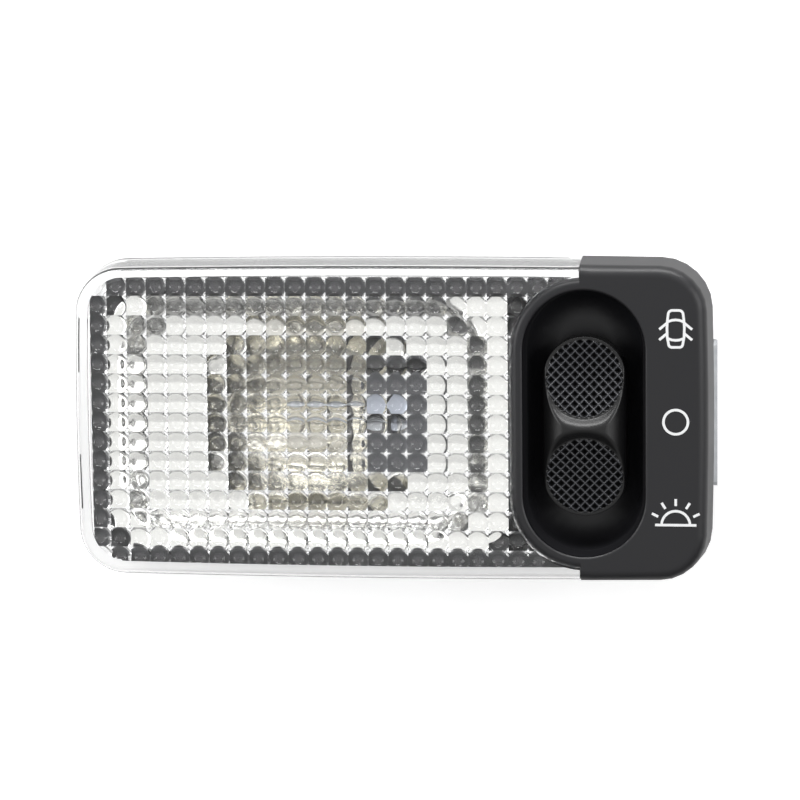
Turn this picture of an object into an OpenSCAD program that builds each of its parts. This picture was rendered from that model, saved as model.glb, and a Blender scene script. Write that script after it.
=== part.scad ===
// Car dome light: a rectangular courtesy lamp that snaps into a headliner.
// The lamp lies on its back. The face looks along +Z and the origin is the middle of the flat back.
// The lens is on the -X side, the switch is on the +X side, and +Y is the top of the face.

/* [Face] */
// Length of the face
face_l = 105.6; // [100:0.2:114]
// Height of the face at the switch panel
panel_w = 53.8; // [53:0.1:56]
// How far the lens stands inside the panel's outline on each side
lens_step = 0.3; // [0.1:0.05:0.5]
// Corner radius of the face
corner_r = 8; // [6:0.5:10]
// How far the middle of each side bows outwards
side_bow = 0.5; // [0.1:0.1:1]
// How far the side walls lean in from the trim edge to the face
draft_in = 0.7; // [0.3:0.1:1.2]
// Edge radius of the switch panel
panel_edge_r = 1.9; // [1:0.1:2.4]
// Edge radius of the lens
lens_edge_r = 1.2; // [0.6:0.1:1.6]
// Length of the switch panel at the end of the face
panel_l = 21.5; // [20:0.1:22.5]

/* [Depth] */
// Depth from the flat back to the face
lamp_d = 24; // [24:0.5:28]
// Depth of the trim that stands below the headliner
trim_d = 8.5; // [8:0.1:9]
// Thickness of the housing's floor
floor_t = 2; // [1.6:0.1:2.2]
// Thickness of the housing's walls
wall_t = 1.8; // [1.5:0.1:2]
// Thickness of the switch panel's plate
panel_t = 2; // [1.6:0.1:2.4]

/* [Body behind the headliner] */
// How far each end of the body stands inside the face
end_step = 4.3; // [3.8:0.1:4.8]
// How far each side of the body stands inside the face
side_step = 3.9; // [3.4:0.1:4.4]
// Corner radius of the body
body_r = 4; // [3:0.5:6]
// Gap between the body's flange and the inside of the lens skirt
rim_gap = 0.3; // [0.2:0.05:0.5]
// Thickness of the flange behind the lens
flange_t = 1.2; // [1:0.1:1.6]

/* [Lens] */
// Thickness of the lens plate without the prisms
lens_t = 2.2; // [1.8:0.1:2.4]
// Thickness of the lens skirt
lens_wall = 1.8; // [1.4:0.1:2]
// Pitch of the prisms
prism_pitch = 3.3; // [3:0.1:4]
// Height of a prism
prism_h = 0.75; // [0.4:0.05:0.8]
// Rows of prisms
prism_rows = 15; // [13:2:15]
// Distance from the end of the face to a line between prism columns
prism_start = 9; // [7.8:0.1:10.8]
// Gap between the lens and the bezel
bezel_gap = 0.12; // [0.08:0.02:0.3]

/* [Switch well] */
// Distance of the well's middle from the end of the face
well_inset = 20.9; // [20.4:0.1:21.4]
// Radius of the well's round ends
well_r = 9.9; // [9.5:0.1:10.2]
// Width of the panel above and below the bezel
bezel_margin = 3; // [2.5:0.1:3.9]
// Width of the bezel round the well
bezel_t = 2.05; // [1.8:0.05:2.4]
// Radius of the bezel's outer edge beside the lens
bezel_crown = 1.2; // [0.6:0.1:1.6]
// Radius of the well's mouth
mouth_r = 0.5; // [0.3:0.05:0.7]
// Radius between the well's wall and its floor
well_fillet = 5; // [3:0.1:5.4]
// Depth of the well below the face
well_d = 9; // [8.8:0.1:9.2]
// How far the well's wall leans in towards its floor
well_lean = 0.8; // [0.4:0.1:1]
// Thickness of the well's floor
well_floor_t = 1.8; // [1.4:0.1:2]

/* [Rocker] */
// Length of the rocker
rocker_l = 29.6; // [28:0.2:30.4]
// Width of the rocker over its finger pads
rocker_w = 13.6; // [13:0.1:14]
// Where the rocker's middle lies across the lamp
rocker_y = -0.8; // [-1:0.1:0]
// How far the rocker's ridge stands above the face
ridge_up = 0.3; // [0:0.1:0.8]
// Depth of the middle of each pad below the ridge
pad_drop = 3.2; // [2.8:0.1:3.4]
// Slope of the pads down from the ridge
pad_slope = 11; // [8:0.5:12]
// How deep each pad is dished
pad_dish = 0.8; // [0.4:0.1:1]
// Width of the ridge's flat top between its hollow flanks
saddle_w = 6.6; // [5.6:0.1:7.4]
// Slope of the ridge's flanks from the vertical
flank_slope = 35; // [25:1:40]
// Depth of the rocker's axle below the face
axle_drop = 12; // [11.8:0.1:12.2]
// Radius of the rocker's axle pins
axle_r = 1.25; // [1:0.05:1.4]
// Running clearance of the axle pins and of the plunger
running_gap = 0.06; // [0.03:0.01:0.1]
// Pitch of the grip ridges on the pads
grip_pitch = 1.1; // [0.9:0.02:1.3]
// Depth of the grip pits
grip_depth = 0.3; // [0.2:0.05:0.4]

/* [Switch contacts] */
// Thickness of the contact strips
strip_t = 0.8; // [0.6:0.1:0.9]
// Width of the contact strips and of the blades
strip_w = 2.8; // [2.4:0.1:3]
// Pitch of the blades in the connector
blade_pitch = 5; // [4.6:0.1:5.2]
// Thickness of the seesaw contact
seesaw_t = 0.6; // [0.5:0.05:0.7]
// Distance from the seesaw's pivot to its contact points
contact_arm = 6.2; // [6:0.1:6.4]
// Radius of the contact rivets
rivet_r = 0.9; // [0.7:0.05:1]
// Width of the seesaw contact
seesaw_w = 3.2; // [3:0.1:3.6]
// Radius of the plunger
plunger_r = 1.65; // [1.5:0.05:1.8]
// Depth of the connector's shroud
connector_d = 10.5; // [10:0.1:11]
// How far the blades stand inside the shroud's mouth
blade_recess = 2; // [1.5:0.1:3]

/* [Reflector and bulb] */
// Thickness of the reflector's sheet
sheet_t = 0.8; // [0.6:0.1:1]
// Gap between the end wall of the body and the reflector
reflector_gap = 1.9; // [1.7:0.1:2.3]
// Gap between the reflector and the bezel
bezel_room = 0.35; // [0.2:0.05:0.6]
// Distance from the reflector's dish to the partition
dish_margin = 2.6; // [2.5:0.1:3.4]
// Depth of the reflector's dish below its rim
dish_d = 4.6; // [4:0.1:5]
// Room in the bowl beyond each end of the bulb
bowl_room = 4.6; // [3.8:0.1:5]
// Depth of the bowl below the dish
bowl_d = 8.8; // [8.4:0.1:9.4]
// How far the bowl's middle lies beyond the bulb's middle
bowl_shift = 0.4; // [0:0.1:0.8]
// Diameter of the bulb's glass
bulb_dia = 10; // [9.4:0.1:10.2]
// Length of the bulb
bulb_l = 26.8; // [25.5:0.1:27]
// Width of the bulb's flat base
base_w = 9.2; // [8.6:0.1:9.4]
// Thickness of the bulb's flat base
base_t = 2.3; // [2:0.1:2.5]
// Length of the bulb's flat base
base_l = 8.6; // [8:0.1:9]
// Distance from the switch to the end of the bulb's base
base_inset = 17.5; // [17.1:0.1:18.1]
// Depth of the bulb's axis below the face
bulb_drop = 10.6; // [10:0.1:10.8]

/* [Fixing] */
// Width of the spring clip
clip_w = 24.3; // [20:0.1:28]
// Thickness of the clip's sheet
clip_t = 0.6; // [0.5:0.05:0.8]
// How far the clip's bulge stands off the body's end
clip_bulge = 4.7; // [4.4:0.1:5]
// How far the hooks at the other end stand off the body
hook_reach = 3; // [2:0.1:3.6]
// Gap between the trim edge and the hooks, for the headliner's frame
hook_gap = 2.6; // [2:0.1:3]

/* [Hidden] */
$fn = 48;

// Clearance between pieces that are dropped in, and the overlap that joins solids of one piece
seat_gap = 0.15;
weld = 0.02;
past = 1;

// Heights measured from the flat back
face_z = lamp_d;
trim_z = lamp_d - trim_d;
lens_under_z = face_z - lens_t;
rim_z = lens_under_z - prism_h - 0.5;
well_floor_z = face_z - well_d;
axle_z = face_z - axle_drop;
bulb_z = face_z - bulb_drop;

// Body inside the face, and its walls
body_l = face_l - 2 * end_step;
body_w = panel_w - 2 * side_step;
body_in_l = body_l - 2 * wall_t;
body_in_w = body_w - 2 * wall_t;
split_x = face_l / 2 - panel_l;

// Well and switch, and the partition beside them
well_x = face_l / 2 - well_inset;
bezel_r = well_r + bezel_t;
well_straight = panel_w - 2 * (bezel_r + bezel_margin);
switch_x0 = well_x - 14.2;
partition_t = 1.6;
base_end_x = switch_x0 - base_inset;

// Contact level: the strips lie on the carrier's plate
carrier_t = floor_t + 1;
strip_z = carrier_t;
strip_top_z = strip_z + strip_t;

// Number of points along each part of the face's outline
corner_steps = 6;
long_steps = 8;
short_steps = 6;
lens_edge_steps = 4;
panel_edge_steps = 6;

// Points of an arc
function arc_points(c, r, a0, a1, n) = [for (k = [0:n]) let (t = a0 + (a1 - a0) * k / n) c + r * [cos(t), sin(t)]];

// Points strictly between two points
function between(p, q, n) = [for (k = [1:n - 1]) p + (q - p) * k / n];

// Rounded rectangle of half length a, half height b and corner radius r
function rounded_box(a, b, r) = concat(
    arc_points([a - r, b - r], r, 0, 90, corner_steps),
    between([a - r, b], [r - a, b], long_steps),
    arc_points([r - a, b - r], r, 90, 180, corner_steps),
    between([-a, b - r], [-a, r - b], short_steps),
    arc_points([r - a, r - b], r, 180, 270, corner_steps),
    between([r - a, -b], [a - r, -b], long_steps),
    arc_points([a - r, r - b], r, 270, 360, corner_steps),
    between([a, r - b], [a, b - r], short_steps));

// Outline of the face of height w, set in by inset, with its sides bowed
function face_ring(w, inset) =
    let (a = face_l / 2 - side_bow - inset, b = w / 2 - side_bow - inset)
    [for (p = rounded_box(a, b, corner_r - inset))
        [p.x + side_bow * (1 - pow(p.y / b, 2)) * p.x / a, p.y + side_bow * (1 - pow(p.x / a, 2)) * p.y / b]];

// Rings of a moulded edge: a leaning wall from z0, then a rounded edge of radius r up to z1, all set in by inset
function edge_rings(inset, r, z0, z1, steps) = concat(
    [[inset, z0]],
    [for (k = [0:steps]) let (t = 90 * k / steps)
        [inset + draft_in + r * (1 - cos(t)), z1 - r + r * sin(t)]]);

// Solid through a stack of face outlines, each given as [inset, z]
module face_loft(w, rings) {
    n = len(face_ring(w, 0));
    last = n * (len(rings) - 1);
    polyhedron(
        points = [for (s = rings) for (p = face_ring(w, s[0])) [p.x, p.y, s[1]]],
        faces = concat(
            [[for (k = [0:n - 1]) k]],
            [[for (k = [n - 1:-1:0]) last + k]],
            [for (s = [0:len(rings) - 2]) for (k = [0:n - 1])
                let (i = s * n + k, j = s * n + (k + 1) % n) each [[i, i + n, j + n], [i, j + n, j]]]));
}

// Box by its two corners
module block(low, high) {
    translate(low) cube(high - low);
}

// Oblong solid round the well's middle, from a half section drawn as [distance from its middle line, height]
module oblong() {
    translate([well_x, 0, 0]) {
        for (s = [0, 180])
            rotate(s) translate([0, well_straight / 2, 0]) rotate_extrude(angle = 180) children();
        rotate([90, 0, 0]) linear_extrude(well_straight, center = true) {
            children();
            mirror([1, 0]) children();
        }
    }
}

// Half section of a plain oblong column
module column_section(r, z0, z1) {
    translate([0, z0]) square([r, z1 - z0]);
}

// Tube of radius wire round a helix of radius r along +Z
module helix(r, wire, rise, turns, sides = 6, steps = 12) {
    n = turns * steps;
    ring = [for (k = [0:sides - 1]) wire * [cos(360 * k / sides), sin(360 * k / sides)]];
    points = [for (k = [0:n]) let (t = 360 * k / steps, c = [r * cos(t), r * sin(t), rise * k / n])
        for (p = ring) c + p.x * [cos(t), sin(t), 0] + [0, 0, p.y]];
    polyhedron(points, faces = concat(
        [[for (k = [sides - 1:-1:0]) k]],
        [[for (k = [0:sides - 1]) n * sides + k]],
        [for (s = [0:n - 1]) for (k = [0:sides - 1])
            let (i = s * sides + k, j = s * sides + (k + 1) % sides)
                each [[i, j + sides, i + sides], [i, j, j + sides]]]));
}

// Black moulding: tray, switch panel, bezel and well in one piece
module body_outline(grow = 0) {
    polygon(rounded_box(body_l / 2 + grow, body_w / 2 + grow, body_r + grow));
}

module panel_shell() {
    difference() {
        intersection() {
            face_loft(panel_w, edge_rings(0, panel_edge_r, trim_z, face_z, panel_edge_steps));
            block([split_x, -panel_w, trim_z - past], [face_l, panel_w, face_z + past]);
        }
        intersection() {
            face_loft(panel_w, edge_rings(wall_t, panel_edge_r, trim_z - past, face_z - panel_t, panel_edge_steps));
            block([split_x + wall_t, -panel_w, trim_z - 2 * past], [face_l, panel_w, face_z]);
        }
    }
}

// Half section of the bezel, its edge rounded beside the lens
module bezel_section() {
    difference() {
        column_section(bezel_r, trim_z, face_z);
        translate([bezel_r - bezel_crown, face_z - bezel_crown]) difference() {
            square(bezel_crown + past);
            circle(bezel_crown);
        }
    }
}

// Half section of the well: rounded mouth, leaning wall and a fillet that runs into the floor
well_foot_r = well_r - well_lean;
fillet_rise = well_lean * well_fillet / well_d;
fillet_x = well_foot_r + fillet_rise - well_fillet * sqrt(1 + pow(well_lean / well_d, 2));
fillet_z = well_floor_z + well_fillet;

module well_section() {
    translate([0, well_floor_z]) square([fillet_x, well_d + past]);
    intersection() {
        translate([fillet_x, fillet_z]) circle(well_fillet);
        translate([0, well_floor_z - past]) square([well_r, well_fillet + past]);
    }
    polygon([[0, fillet_z - weld], [well_foot_r + fillet_rise, fillet_z - weld], [well_r, face_z], [well_r, face_z + past],
             [0, face_z + past]]);
    translate([well_r - weld, face_z - mouth_r]) difference() {
        square([mouth_r + weld, mouth_r + past]);
        translate([mouth_r + weld, 0]) circle(mouth_r);
    }
}

ear_in = rocker_w / 2 - 0.6;
ear_t = 2;
slot_half_x = ear_in;
slot_half_y = 10.7;

module axle_ear(side) {
    ear_half = axle_r + 2;
    x0 = side > 0 ? well_x + ear_in : well_x - ear_in - ear_t;
    translate([x0, rocker_y, 0]) {
        translate([0, -ear_half, axle_z]) cube([ear_t, 2 * ear_half, well_floor_z - well_floor_t - axle_z + weld]);
        translate([0, 0, axle_z]) rotate([0, 90, 0]) cylinder(r = ear_half, h = ear_t);
    }
}

module housing() {
    color("#2b2b2f") difference() {
        union() {
            // Tray with its rim under the lens
            difference() {
                linear_extrude(rim_z) body_outline();
                translate([0, 0, floor_t]) linear_extrude(rim_z) body_outline(-wall_t);
            }
            // Rim carried up to the panel's plate
            intersection() {
                difference() {
                    linear_extrude(face_z - panel_t + weld) body_outline();
                    translate([0, 0, floor_t]) linear_extrude(face_z) body_outline(-wall_t);
                }
                block([split_x + weld, -body_w, rim_z - 1], [body_l, body_w, face_z]);
            }
            panel_shell();
            // Flange that closes the gap between the body and the lens skirt
            translate([0, 0, trim_z]) linear_extrude(flange_t) difference() {
                polygon(face_ring(lens_w, lens_wall + rim_gap));
                body_outline(-wall_t);
            }
            // Bezel, and below the trim the tub of the well
            oblong() bezel_section();
            intersection() {
                oblong() column_section(bezel_r, well_floor_z - well_floor_t, trim_z + weld);
                linear_extrude(face_z) body_outline();
            }
            // Partition between lamp and switch
            block([switch_x0 - partition_t, -body_w / 2 + wall_t / 2, floor_t - weld],
                  [switch_x0, body_w / 2 - wall_t / 2, ledge_z]);
            // Ledges that carry the reflector's flange
            for (s = [-1, 1])
                block([-body_l / 2 + wall_t / 2, s > 0 ? ledge_y : -body_in_w / 2 - wall_t / 2, ledge_z - 1.4],
                      [reflector_x1, s > 0 ? body_in_w / 2 + wall_t / 2 : -ledge_y, ledge_z]);
            block([-body_l / 2 + wall_t / 2, -body_w / 2 + wall_t / 2, ledge_z - 1.4],
                  [reflector_x0 + 1.2, body_w / 2 - wall_t / 2, ledge_z]);
            axle_ear(-1);
            axle_ear(1);
            // Post under the bulb holder, between the strips
            block([holder_x0 + 1, -holder_foot, floor_t - weld], [holder_x1 - 1, holder_foot, holder_z0]);
            // Ribs under the strips
            for (x = [switch_x0 - 8.7, switch_x0 - 4.7])
                block([x, live_y - strip_w / 2, floor_t - weld], [x + 1, tail_y + strip_w / 2, strip_z]);
            // Hooks that slide over the headliner's frame
            for (s = [-1, 1])
                hook(s * body_w / 4);
        }
        oblong() well_section();
        // Slot for the rocker's stem and bores for its axle
        block([well_x - slot_half_x, rocker_y - slot_half_y, well_floor_z - well_floor_t - 1],
              [well_x + slot_half_x, rocker_y + slot_half_y, well_floor_z + 1]);
        translate([well_x, rocker_y, axle_z]) rotate([0, 90, 0])
            cylinder(r = axle_r + running_gap, h = 2 * (ear_in + ear_t + 1), center = true);
        // Opening in the floor for the contact carrier, and the window of its connector
        block([switch_x0, -body_in_w / 2, -1], [body_in_l / 2, body_in_w / 2, floor_t + 1]);
        block([conn_x0 - seat_gap, -body_w, -1], [conn_x1 + seat_gap, -body_in_w / 2 + 1, conn_top_z + seat_gap]);
        // Notches in the partition for the strips
        for (y = [common_y, live_y])
            block([switch_x0 - partition_t - 1, y - strip_w / 2 - 0.6, floor_t],
                  [switch_x0 + 1, y + strip_w / 2 + 0.6, strip_top_z + 0.8]);
        // Latch windows for the lens and slots for the feet of the clip
        for (x = lens_latch_x) for (s = [-1, 1])
            block([x - latch_w / 2 - 0.4, s * body_w / 2 - 0.9, latch_z - 1.4],
                  [x + latch_w / 2 + 0.4, s * body_w / 2 + 0.9, latch_z + 0.8]);
        block([body_l / 2 - clip_t, -clip_w / 2 - 0.2, -1],
              [body_l / 2 + 1, clip_w / 2 + 0.2, clip_foot_z + 0.8]);
    }
}

// Hook at the left end, y is its middle
module hook(y) {
    hook_w = 9;
    hook_t = 2.2;
    top_z = trim_z - hook_gap;
    translate([-body_l / 2 + weld, y + hook_w / 2, top_z]) rotate([90, 0, 0])
        linear_extrude(hook_w)
            polygon([[0, 0], [-hook_reach, 0], [-hook_reach, -hook_t / 2], [0, -hook_t - 1.5]]);
}

// Lens: clear moulding with a skirt all round and pillow prisms on the inside
lens_w = panel_w - 2 * lens_step;
lens_latch_x = [-30, 5];
latch_w = 6;
lens_in_y = lens_w / 2 - lens_wall;
latch_reach = lens_in_y - body_w / 2 + 0.5;
latch_z = trim_z + flange_t + 1.8;
field_inset = lens_wall + draft_in;

// One pillow, square at the plate and eight-sided at its top
module pillow(x, y) {
    translate([x, y, lens_under_z]) hull() {
        translate([-prism_pitch / 2, -prism_pitch / 2, 0]) cube([prism_pitch, prism_pitch, 0.2]);
        rotate([180, 0, 22.5]) cylinder(r = prism_pitch * 0.34, h = prism_h, $fn = 8);
    }
}

module prisms() {
    prism_line_x = prism_start - face_l / 2;
    first = -ceil(prism_start / prism_pitch);
    last = ceil((split_x - prism_line_x) / prism_pitch);
    intersection() {
        for (i = [first:last]) for (j = [0:prism_rows - 1])
            pillow(prism_line_x + (i + 0.5) * prism_pitch, (j - (prism_rows - 1) / 2) * prism_pitch);
        translate([0, 0, lens_under_z - 2]) linear_extrude(3) polygon(face_ring(lens_w, field_inset));
    }
}

module lens() {
    color("#e8eef0", 0.5) difference() {
        union() {
            difference() {
                face_loft(lens_w, edge_rings(0, lens_edge_r, trim_z, face_z, lens_edge_steps));
                face_loft(lens_w, edge_rings(lens_wall, lens_edge_r, trim_z - past, lens_under_z, lens_edge_steps));
            }
            prisms();
            // Latches that snap into the body's walls
            for (x = lens_latch_x) for (s = [-1, 1])
                translate([x, s * lens_in_y, latch_z]) rotate([90, 0, 90])
                    linear_extrude(latch_w, center = true)
                        polygon([[s * 0.9, 0.5], [-s * latch_reach, 0], [-s * latch_reach, -0.4], [s * 0.9, -1.6]]);
        }
        hull() for (s = [-1, 1])
            translate([well_x, s * well_straight / 2, trim_z - past])
                cylinder(r = bezel_r + bezel_gap, h = trim_d + 2 * past);
        block([split_x - bezel_gap, -panel_w, trim_z - past], [face_l, panel_w, face_z + past]);
    }
}

// Reflector: bright pressed tray with a bowl round the bulb
ledge_z = rim_z - 2.2;
ledge_y = body_in_w / 2 - 1.2;
reflector_w = body_in_w - 2 * seat_gap;
reflector_x0 = reflector_gap - body_in_l / 2;
reflector_x1 = well_x - bezel_r - bezel_room;
flange_w = 1.6;
dish_x1 = switch_x0 - partition_t - dish_margin;
dish_lean = 4.4;
dish_z = ledge_z + sheet_t - dish_d;
bowl_r = bulb_l / 2 + bowl_room;
bowl_x = base_end_x - bulb_l / 2 - bowl_shift;
bowl_sphere = (bowl_r * bowl_r + bowl_d * bowl_d) / (2 * bowl_d);
bowl_side_y = reflector_w / 2 - 2 * flange_w;

// Dish that narrows towards its floor, grown outwards by g
module dish_form(g) {
    x0 = reflector_x0 + flange_w - g;
    x1 = dish_x1 + g;
    y1 = reflector_w / 2 - flange_w + g;
    top = ledge_z + sheet_t + 1;
    low = dish_z - g;
    run = dish_lean * (top - low) / dish_d;
    intersection() {
        rotate([90, 0, 90]) translate([0, 0, x0]) linear_extrude(x1 - x0)
            polygon([[-y1, top], [y1, top], [y1 - run, low], [run - y1, low]]);
        rotate([90, 0, 0]) linear_extrude(2 * y1, center = true)
            polygon([[x0, top], [x1, top], [x1 - run / 2, low], [x0 + run / 2, low]]);
    }
}

module bowl_form(g) {
    intersection() {
        translate([bowl_x, 0, dish_z + bowl_sphere - bowl_d]) sphere(bowl_sphere + g);
        translate([bowl_x, 0, dish_z - bowl_d - 2]) cylinder(r = bowl_r + g, h = bowl_d + 2.5);
        block([-face_l, -bowl_side_y - g, 0], [face_l, bowl_side_y + g, face_z]);
    }
}

module reflector() {
    color("#d9dcdf") difference() {
        union() {
            block([reflector_x0, -reflector_w / 2, ledge_z], [reflector_x1, reflector_w / 2, ledge_z + sheet_t]);
            intersection() {
                dish_form(sheet_t);
                block([-face_l, -face_l, 0], [face_l, face_l, ledge_z + sheet_t]);
            }
            bowl_form(sheet_t);
        }
        dish_form(0);
        bowl_form(0);
        // Window that the bulb holder stands in
        block([holder_x0 - 0.3, -holder_w / 2 - 0.3, 0], [holder_x1 + 0.3, holder_w / 2 + 0.3, face_z]);
    }
}

// Bulb: wedge-base glass lamp that lies along X with its base in the holder
glass_t = 0.7;
bulb_r = bulb_dia / 2;
bulb_tip_x = base_end_x - bulb_l;
neck_x = base_end_x - base_l;
lead_r = 0.25;
lead_y = 1.9;
filament_x = bulb_tip_x + 9.2;

module bulb_envelope(r, x0, x1) {
    translate([x0, 0, bulb_z]) rotate([0, 90, 0]) {
        translate([0, 0, r]) sphere(r);
        translate([0, 0, r]) cylinder(r = r, h = x1 - x0 - r - 3);
        translate([0, 0, x1 - x0 - 3 - weld]) cylinder(r1 = r, r2 = r * 0.62, h = 3 + weld);
    }
}

module bulb_glass() {
    color("#eef3f5", 0.4) difference() {
        union() {
            bulb_envelope(bulb_r, bulb_tip_x, neck_x + 1.5);
            block([neck_x - 0.5, -base_w / 2, bulb_z - base_t / 2], [base_end_x, base_w / 2, bulb_z + base_t / 2]);
        }
        bulb_envelope(bulb_r - glass_t, bulb_tip_x + glass_t, neck_x - glass_t);
        for (s = [-1, 1])
            translate([neck_x - 3, s * lead_y, bulb_z]) rotate([0, 90, 0]) cylinder(r = lead_r, h = base_l + 4);
    }
}

module bulb_filament() {
    color("#6f6a66") translate([filament_x, -lead_y + 0.35, bulb_z]) rotate([-90, 0, 0])
        helix(0.45, 0.12, 2 * lead_y - 0.7, 5, 5, 10);
}

// Lead from the filament through the pinch, folded back over the base on side s
module bulb_lead(s) {
    color("#9a9c9e") {
        translate([filament_x - 0.3, s * lead_y, bulb_z]) rotate([0, 90, 0])
            cylinder(r = lead_r - 0.01, h = base_end_x + 0.3 - filament_x + 0.3);
        translate([base_end_x + 0.25, s * lead_y, bulb_z - (s < 0 ? base_t / 2 + 2 * lead_r : lead_r - 0.01)])
            cylinder(r = lead_r - 0.01, h = base_t / 2 + 3 * lead_r);
        translate([base_end_x - 4.4, s * lead_y, bulb_z + s * (base_t / 2 + lead_r)]) rotate([0, 90, 0])
            cylinder(r = lead_r - 0.01, h = 4.9);
        // Support inside the glass, turned in to the filament's end
        translate([filament_x, s * lead_y, bulb_z]) rotate([90 * s, 0, 0])
            cylinder(r = lead_r - 0.01, h = 0.33);
    }
}

module bulb_lead_upper() bulb_lead(1);
module bulb_lead_lower() bulb_lead(-1);

// Bulb holder: black block with a slot for the wedge and two side walls
holder_w = 17;
holder_x0 = base_end_x - 5.6;
holder_x1 = base_end_x + 5.4;
holder_z0 = strip_top_z + 1;
holder_z1 = bulb_z + 5.2;
holder_foot = 2.4;
leaf_t = 0.4;
leaf_gap = 0.03;
holder_slot = 2 * lead_r + leaf_t + 0.1;
tail_y = 4.6;
tail_half = 1.4;

module bulb_holder() {
    color("#1d1d20") difference() {
        block([holder_x0, -holder_w / 2, holder_z0], [holder_x1, holder_w / 2, holder_z1]);
        // Slot for the base of the bulb
        block([holder_x0 - 1, -base_w / 2 - 0.25, bulb_z - base_t / 2 - holder_slot],
              [base_end_x + 0.9, base_w / 2 + 0.25, bulb_z + base_t / 2 + holder_slot]);
        // Open window over the upper contact
        block([holder_x0 - 1, -2.6, bulb_z], [base_end_x + 3, 4.4, holder_z1 + 1]);
        // Wells for the contact tails
        for (s = [-1, 1])
            block([base_end_x + 0.5, s * tail_y - tail_half - 0.3, holder_z0 - 1],
                  [base_end_x + 2.5, s * tail_y + tail_half + 0.3, bulb_z + base_t / 2 + holder_slot]);
    }
}

// Spring strip on side s: a leaf over the lead, a riser beside the base and a foot on its strip
module holder_contact(s) {
    near_z = bulb_z + s * (base_t / 2 + 2 * lead_r + leaf_gap);
    far_z = near_z + s * leaf_t;
    low_z = min(near_z, far_z);
    top_z = max(near_z, far_z);
    riser_x = base_end_x + 1.1;
    color("#b9b3a4") translate([0, s * tail_y, 0]) mirror([0, (1 - s) / 2, 0]) {
        block([base_end_x - 4, lead_y - tail_y - 1.3, low_z], [base_end_x + 0.8, lead_y - tail_y + 1.7, top_z]);
        block([base_end_x - 0.2, -tail_half, low_z], [riser_x + leaf_t, -0.2, top_z]);
        block([riser_x, -tail_half, strip_top_z], [riser_x + leaf_t, tail_half, top_z]);
        block([riser_x, -tail_half, strip_top_z], [riser_x + 2.3, tail_half, strip_top_z + leaf_t]);
    }
}

module holder_contact_upper() holder_contact(1);
module holder_contact_lower() holder_contact(-1);

// Contact carrier: plate that closes the back of the switch, with the connector's shroud
conn_half = blade_pitch + strip_w / 2 + 1.6;
conn_wall = 1.2;
conn_x0 = well_x - conn_half - conn_wall;
conn_x1 = well_x + conn_half + conn_wall;
conn_inner_z0 = strip_z - 2;
conn_inner_z1 = strip_top_z + 2.2;
conn_top_z = conn_inner_z1 + conn_wall;
conn_back_y = connector_d - body_w / 2;
blade_tip_y = blade_recess - body_w / 2;

module contact_carrier() {
    color("#3a3a3d") difference() {
        union() {
            block([switch_x0 + seat_gap, -body_in_w / 2 + seat_gap, 0],
                  [body_in_l / 2 - seat_gap, body_in_w / 2 - seat_gap, carrier_t]);
            block([conn_x0, -body_w / 2, 0], [conn_x1, conn_back_y + conn_wall, conn_top_z]);
            // Stakes that hold the strips
            for (p = stakes)
                translate([p.x, p.y, carrier_t - weld]) {
                    cylinder(r = 0.6, h = strip_t + 0.3);
                    translate([0, 0, strip_t + weld]) cylinder(r = 1.05, h = 0.4);
                }
        }
        block([well_x - conn_half, -body_w / 2 - 1, conn_inner_z0], [well_x + conn_half, conn_back_y, conn_inner_z1]);
        for (k = [-1:1])
            block([well_x + k * blade_pitch - strip_w / 2, conn_back_y - 1, strip_z],
                  [well_x + k * blade_pitch + strip_w / 2, conn_back_y + conn_wall + 1, strip_top_z]);
    }
}

// Contact strips, each stamped in one piece in the plane of the carrier
common_y = rocker_y;
live_y = conn_back_y + conn_wall + 2.4;
live_x = well_x - blade_pitch;
earth_x = well_x + blade_pitch;
holder_tail_x = base_end_x + 2.2;
stakes = [[live_x, live_y], [well_x, rocker_y - contact_arm - 2.6], [earth_x, rocker_y],
          [well_x - 6, common_y]];

// Flat strip through points, with square corners
module strip_path(points) {
    h = strip_w / 2;
    for (k = [0:len(points) - 2]) {
        p = points[k];
        q = points[k + 1];
        block([min(p.x, q.x) - h, min(p.y, q.y) - h, strip_z], [max(p.x, q.x) + h, max(p.y, q.y) + h, strip_top_z]);
    }
}

module stake_holes() {
    for (p = stakes)
        translate([p.x, p.y, strip_z - 1]) cylinder(r = 0.62, h = strip_t + 2);
}

module live_strip() {
    color("#c8a24a") difference() {
        strip_path([[live_x, blade_tip_y + strip_w / 2], [live_x, live_y], [switch_x0 - 5, live_y],
                    [switch_x0 - 5, -tail_y], [holder_tail_x, -tail_y]]);
        stake_holes();
    }
}

module common_strip() {
    color("#c8a24a") difference() {
        union() {
            strip_path([[well_x, common_y], [switch_x0 - 8, common_y], [switch_x0 - 8, tail_y],
                        [holder_tail_x, tail_y]]);
            // Fulcrum under the seesaw
            block([well_x - 1.4, rocker_y - fulcrum_r, strip_z], [well_x + 1.4, rocker_y + fulcrum_r, pivot_z]);
            translate([well_x, rocker_y, pivot_z]) rotate([0, 90, 0]) cylinder(r = fulcrum_r, h = 2.8, center = true);
        }
        stake_holes();
    }
}

module earth_strip() {
    color("#c8a24a") difference() {
        strip_path([[well_x, rocker_y + contact_arm], [earth_x, rocker_y + contact_arm],
                    [earth_x, blade_tip_y + strip_w / 2]]);
        stake_holes();
        rivet_holes();
    }
}

module door_strip() {
    color("#c8a24a") difference() {
        strip_path([[well_x, rocker_y - contact_arm], [well_x, blade_tip_y + strip_w / 2]]);
        stake_holes();
        rivet_holes();
    }
}

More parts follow.
